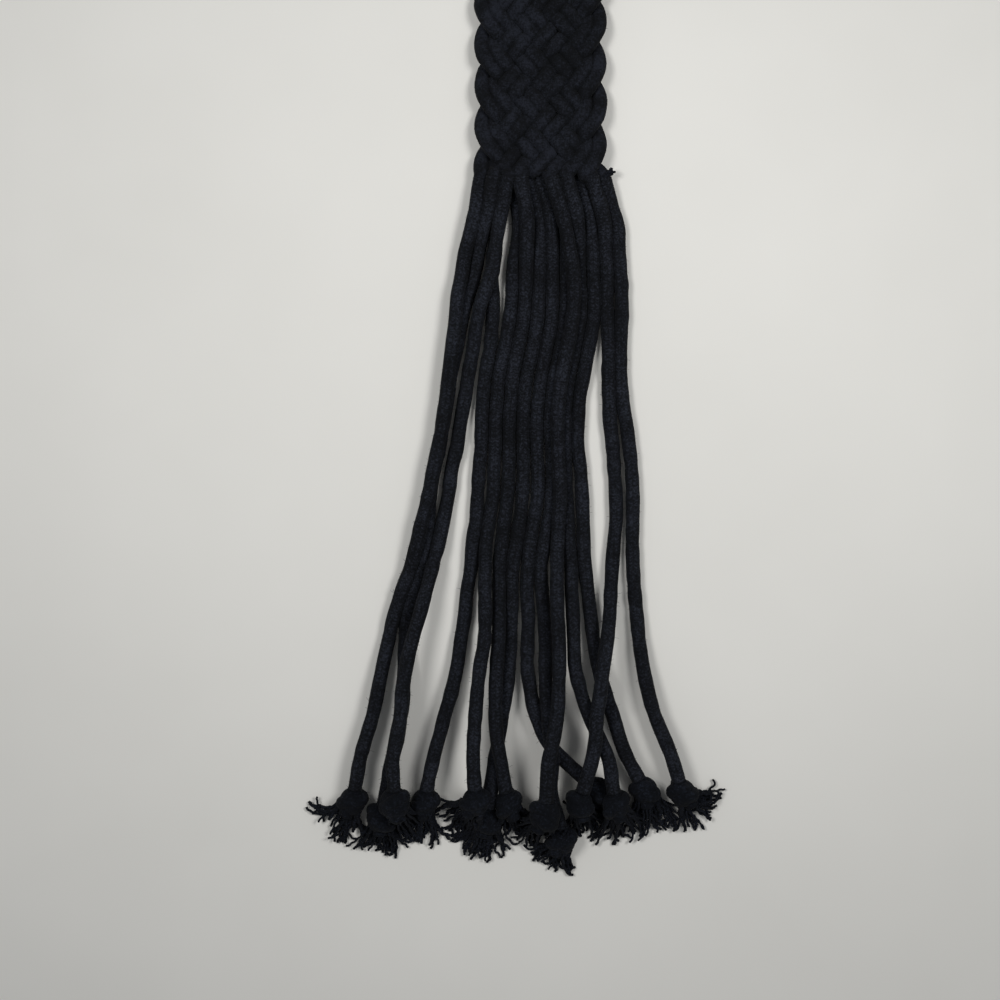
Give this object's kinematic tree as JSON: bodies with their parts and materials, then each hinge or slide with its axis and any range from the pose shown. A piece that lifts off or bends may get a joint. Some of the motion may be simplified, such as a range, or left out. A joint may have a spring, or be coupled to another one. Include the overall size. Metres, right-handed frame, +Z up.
{
  "type": "braided cord belt",
  "caption": "Flat braided cotton cord belt laid straight, with long loose cords at each end that finish in knots and frayed tufts.",
  "frame": {"origin": "bottom centre of the braided band, on the surface that it lies on", "axes": "+Y along the belt from the near fringe to the far one, +Z up from the surface, +X to the right across the band"},
  "size_m": [0.1626, 1.4348, 0.0182],
  "materials": {
    "black_cotton": "matt knitted cotton cord, black, slightly fuzzy"
  },
  "bodies": {
    "root": {"braided_band": "black_cotton", "tail_near_01": "black_cotton", "tail_near_02": "black_cotton", "tail_near_03": "black_cotton", "tail_near_04": "black_cotton", "tail_near_05": "black_cotton", "tail_near_06": "black_cotton", "tail_near_07": "black_cotton", "tail_near_08": "black_cotton", "tail_near_09": "black_cotton", "tail_near_10": "black_cotton", "tail_near_11": "black_cotton", "tail_near_12": "black_cotton", "tail_near_13": "black_cotton", "tail_near_14": "black_cotton", "tail_far_01": "black_cotton", "tail_far_02": "black_cotton", "tail_far_03": "black_cotton", "tail_far_04": "black_cotton", "tail_far_05": "black_cotton", "tail_far_06": "black_cotton", "tail_far_07": "black_cotton", "tail_far_08": "black_cotton", "tail_far_09": "black_cotton", "tail_far_10": "black_cotton", "tail_far_11": "black_cotton", "tail_far_12": "black_cotton", "tail_far_13": "black_cotton", "tail_far_14": "black_cotton", "knot_near_01": "black_cotton", "knot_near_02": "black_cotton", "knot_near_03": "black_cotton", "knot_near_04": "black_cotton", "knot_near_05": "black_cotton", "knot_near_06": "black_cotton", "knot_near_07": "black_cotton", "knot_near_08": "black_cotton", "knot_near_09": "black_cotton", "knot_near_10": "black_cotton", "knot_near_11": "black_cotton", "knot_near_12": "black_cotton", "knot_near_13": "black_cotton", "knot_near_14": "black_cotton", "knot_far_01": "black_cotton", "knot_far_02": "black_cotton", "knot_far_03": "black_cotton", "knot_far_04": "black_cotton", "knot_far_05": "black_cotton", "knot_far_06": "black_cotton", "knot_far_07": "black_cotton", "knot_far_08": "black_cotton", "knot_far_09": "black_cotton", "knot_far_10": "black_cotton", "knot_far_11": "black_cotton", "knot_far_12": "black_cotton", "knot_far_13": "black_cotton", "knot_far_14": "black_cotton", "yarn_stub": "black_cotton"}
  },
  "joints": []
}
